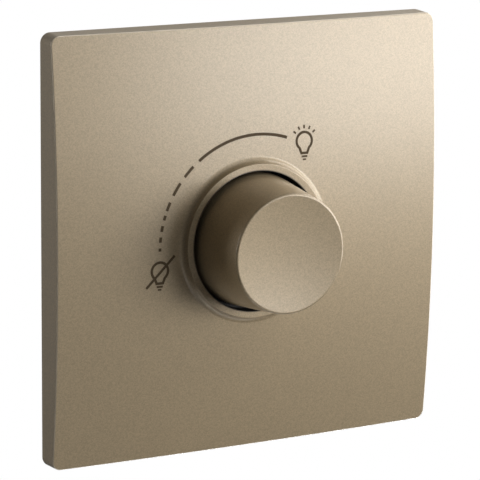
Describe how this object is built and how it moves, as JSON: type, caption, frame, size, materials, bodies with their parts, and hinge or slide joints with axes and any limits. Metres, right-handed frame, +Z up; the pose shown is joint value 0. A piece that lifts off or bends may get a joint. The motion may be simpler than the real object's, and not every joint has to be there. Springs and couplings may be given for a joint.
{
  "type": "rotary dimmer switch",
  "caption": "Square wall plate with a domed front, a collared well and a tapered dished knob that turns a dimmer in a flush housing behind it.",
  "frame": {"origin": "where the knob's axis meets the wall plane, midway between the two wall-box screws", "axes": "+X to the right as seen from the room, +Y into the wall along the knob's axis, +Z up"},
  "size_m": [0.086, 0.05, 0.086],
  "materials": {
    "champagne_paint": "satin metallic paint on moulded plastic",
    "frame_grey": "moulded, matt",
    "housing_white": "moulded, fine spark texture",
    "plain_aluminium": "mill finish",
    "zinc_steel": "zinc plated",
    "spring_steel": "oiled",
    "nickel_brass": "nickel plated",
    "bare_brass": "bare",
    "phenolic": "laminate, matt",
    "board_green": "solder mask",
    "black_moulding": "moulded, matt",
    "natural_nylon": "moulded, semi-matt",
    "iron_powder": "pressed powder",
    "enamelled_copper": "enamelled wire",
    "film_yellow": "moulded case",
    "timing_red": "dipped case",
    "fuse_glass": "clear glass with metal caps",
    "resistor_beige": "lacquered",
    "diode_glass": "moulded"
  },
  "bodies": {
    "switch": {"front_plate": "champagne_paint", "support_frame": "frame_grey", "heat_sink": "plain_aluminium", "rear_housing": "housing_white", "housing_screws": "zinc_steel", "circuit_board": "board_green", "pot_bushing": "nickel_brass", "pot_washer": "zinc_steel", "pot_nut": "nickel_brass", "pot_wafer": "phenolic", "pot_can": "zinc_steel", "pot_switch": "black_moulding", "triac": "black_moulding", "triac_screw": "zinc_steel", "choke_core": "iron_powder", "choke_winding": "enamelled_copper", "film_capacitor": "film_yellow", "timing_capacitor": "timing_red", "fuse": "fuse_glass", "fuse_clips": "bare_brass", "resistors": "resistor_beige", "trigger_diode": "diode_glass", "terminal_clamps": "bare_brass", "terminal_screws": "zinc_steel"},
    "turning": {"knob": "champagne_paint", "pot_shaft": "plain_aluminium", "shaft_clip": "spring_steel", "wiper_carrier": "natural_nylon", "wiper_contact": "bare_brass"}
  },
  "joints": [
    {"name": "knob_turn", "type": "hinge", "parent": "switch", "child": "turning", "pos_m": [0, 0, 0], "axis": [0, 1, 0], "range_deg": [0, 300]}
  ]
}
